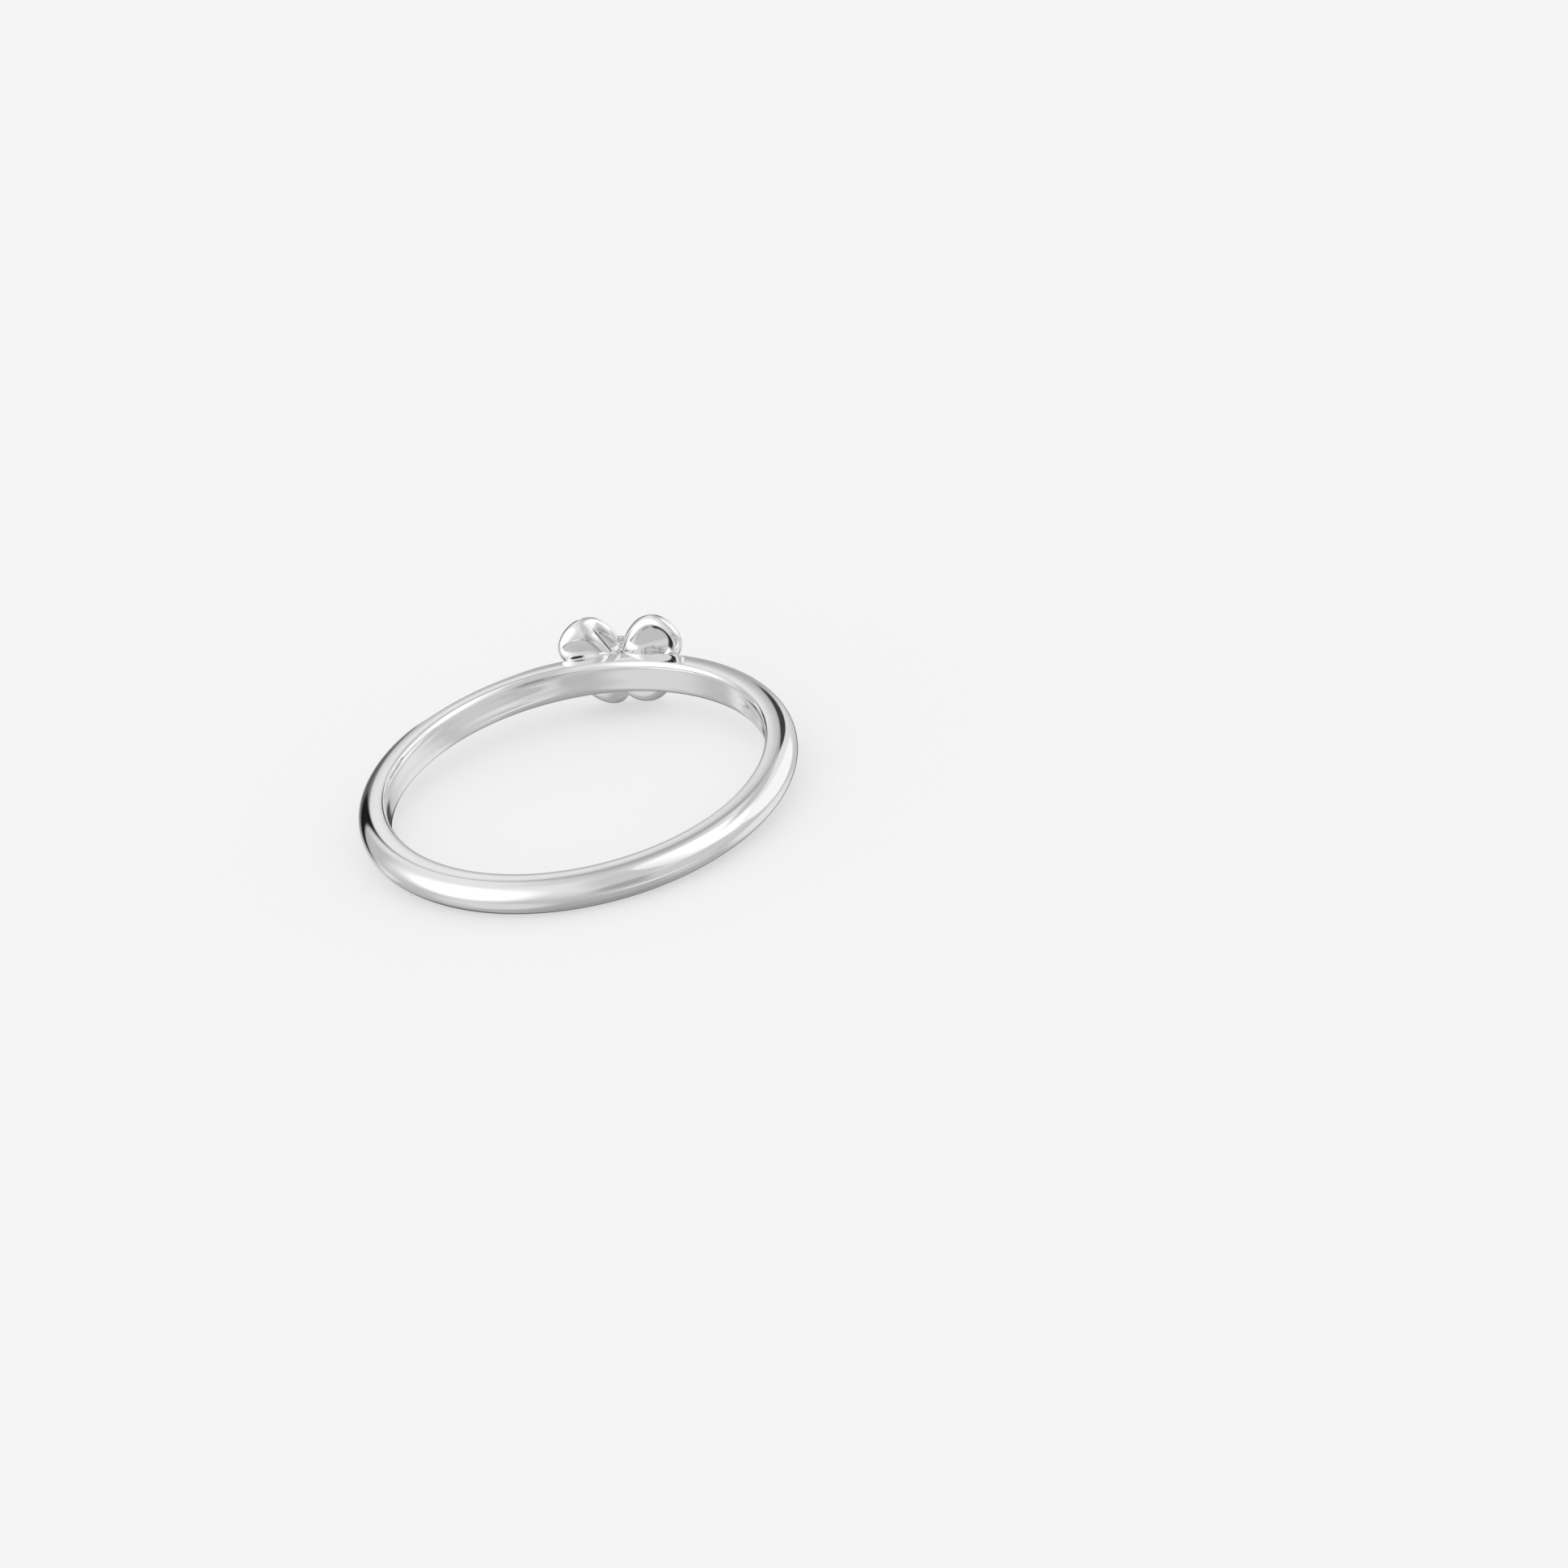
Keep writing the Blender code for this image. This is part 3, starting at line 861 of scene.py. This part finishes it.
def make_floor(stage):
    """A plain pale floor: a white panel lit from below, as under small jewellery, which keeps
    the shadows faint, with the fine bumps of a matt face. It stays out of mirrored rays, where
    the studio's light stands for it."""
    half = stage.floor_size / 2
    mesh = bpy.data.meshes.new("floor")
    corners = [(-half, -half, 0), (half, -half, 0), (half, half, 0), (-half, half, 0)]
    mesh.from_pydata(corners, [], [(0, 1, 2, 3)])
    floor = bpy.data.objects.new("floor", mesh)
    bpy.context.scene.collection.objects.link(floor)
    material = bpy.data.materials.new("lit_white_panel")
    material.use_nodes = True
    tree = material.node_tree
    shader = tree.nodes["Principled BSDF"]
    place = add_node(tree, "ShaderNodeTexCoord").outputs["Object"]
    matt = add_node(tree, "ShaderNodeTexNoise", [("Vector", place), ("Scale", 1 / MATT_SIZE)])
    bump = add_node(tree, "ShaderNodeBump", [
        ("Height", matt.outputs["Fac"]), ("Strength", 0.05), ("Distance", MATT_DEPTH)])
    shader.inputs["Base Color"].default_value = stage.floor
    shader.inputs["Roughness"].default_value = 1.0
    shader.inputs["Specular IOR Level"].default_value = 0.0
    shader.inputs["Emission Color"].default_value = (1.0, 1.0, 1.0, 1.0)
    shader.inputs["Emission Strength"].default_value = stage.panel
    tree.links.new(bump.outputs["Normal"], shader.inputs["Normal"])
    mesh.materials.append(material)
    floor.visible_glossy = False


# Degrees: the way the camera looks, from +Y towards +X, its angle down and its roll.
CAMERA_TURN = -17.044464
CAMERA_RISE = 27.073399
CAMERA_ROLL = -11.58957
CAMERA_DISTANCE = 294.685 * MM
CAMERA_AIM = (9.1203 * MM, 0.7851 * MM, 0.0)
CAMERA_LENS = 150.92  # millimetres, as the sensor
SENSOR = 36.0


def make_camera():
    """A long lens at the photograph's angle to the ring, aimed at a point on the floor."""
    turn, rise = math.radians(CAMERA_TURN), math.radians(CAMERA_RISE)
    ahead = Vector((
        math.sin(turn) * math.cos(rise), math.cos(turn) * math.cos(rise), -math.sin(rise)))
    data = bpy.data.cameras.new("camera")
    data.sensor_width = SENSOR
    data.lens = CAMERA_LENS
    data.clip_start = 0.01
    data.clip_end = 10.0
    camera = bpy.data.objects.new("camera", data)
    facing = ahead.to_track_quat("-Z", "Y").to_matrix()
    facing = facing @ Matrix.Rotation(math.radians(CAMERA_ROLL), 3, "Z")
    camera.matrix_world = (
        Matrix.Translation(Vector(CAMERA_AIM) - ahead * CAMERA_DISTANCE) @ facing.to_4x4())
    bpy.context.scene.collection.objects.link(camera)
    bpy.context.scene.camera = camera


# Operators

def silver_of(context):
    """The polished silver, made when the first piece needs it."""
    found = bpy.data.materials.get("buffed_silver_painted_shade")
    return found or polished_silver(context.scene.flower_ring.silver)


class RING_OT_band(bpy.types.Operator):
    """Make the polished band"""

    bl_idname = "flower_ring.band"
    bl_label = "Band"

    def execute(self, context):
        settings = context.scene.flower_ring
        make_band(settings.band, silver_of(context))
        return {"FINISHED"}


class RING_OT_flower(bpy.types.Operator):
    """Make the petals, the core and the metal that joins them to the band"""

    bl_idname = "flower_ring.flower"
    bl_label = "Flower"

    def execute(self, context):
        settings = context.scene.flower_ring
        polished, cast = silver_of(context), cast_silver(settings.silver)
        folded_petal, folded_dome, *plain_petals = PETALS
        make_folded(folded_petal, folded_dome, settings, polished)
        for petal in plain_petals:
            make_petal(petal, settings, polished)
        front = settings.flower.core_thickness / 2
        make_core("core", settings, polished, front, CORE_BACK / 2)
        make_core("core_web", settings, cast, CORE_BACK / 2, CORE_BACK)
        for fillet in FILLETS:
            make_fillet(fillet, settings, cast if fillet.rough else polished)
        return {"FINISHED"}


class RING_OT_stage(bpy.types.Operator):
    """Make the floor, the studio light and the camera"""

    bl_idname = "flower_ring.stage"
    bl_label = "Stage"

    def execute(self, context):
        stage = context.scene.flower_ring.stage
        make_floor(stage)
        soft_studio(stage)
        make_camera()
        context.scene.view_settings.view_transform = "Standard"
        return {"FINISHED"}


class RING_PT_panel(bpy.types.Panel):
    """Pieces of the ring and their sizes"""

    bl_idname = "RING_PT_panel"
    bl_label = "Flower ring"
    bl_space_type = "VIEW_3D"
    bl_region_type = "UI"
    bl_category = "Flower ring"

    def draw(self, context):
        settings = context.scene.flower_ring
        for operator in OPERATORS:
            self.layout.operator(operator.bl_idname)
        for group in (settings.band, settings.flower, settings.silver, settings.stage):
            box = self.layout.box()
            for key in group.__annotations__:
                box.prop(group, key)


OPERATORS = (RING_OT_band, RING_OT_flower, RING_OT_stage)
CLASSES = (
    BandSizes, FlowerSizes, SilverColours, StageLook, RingSettings, *OPERATORS, RING_PT_panel)


def register():
    for item in CLASSES:
        bpy.utils.register_class(item)
    bpy.types.Scene.flower_ring = PointerProperty(type=RingSettings)


def unregister():
    del bpy.types.Scene.flower_ring
    for item in reversed(CLASSES):
        bpy.utils.unregister_class(item)


def main():
    register()
    bpy.ops.flower_ring.band()
    bpy.ops.flower_ring.flower()
    bpy.ops.flower_ring.stage()


if __name__ == "__main__":
    main()
